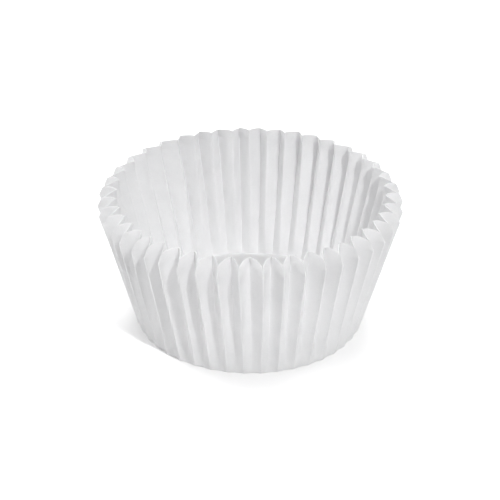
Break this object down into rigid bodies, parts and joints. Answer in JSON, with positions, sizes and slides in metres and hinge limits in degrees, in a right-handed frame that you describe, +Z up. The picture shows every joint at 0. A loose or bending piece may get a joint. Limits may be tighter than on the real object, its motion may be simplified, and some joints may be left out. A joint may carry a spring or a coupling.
{
  "type": "cupcake liner",
  "caption": "Round fluted paper liner for baking a cupcake: flat base and a pleated wall that flares outwards to a zigzag rim.",
  "frame": {"origin": "centre of the base's underside, on the surface that the liner stands on", "axes": "+Z up along the liner's axis; a pleat ridge lies on +X and on +Y"},
  "size_m": [0.0654, 0.0654, 0.0306],
  "materials": {
    "greaseproof_paper": "matt white greaseproof paper, slightly see-through"
  },
  "bodies": {
    "root": {"liner": "greaseproof_paper"}
  },
  "joints": []
}
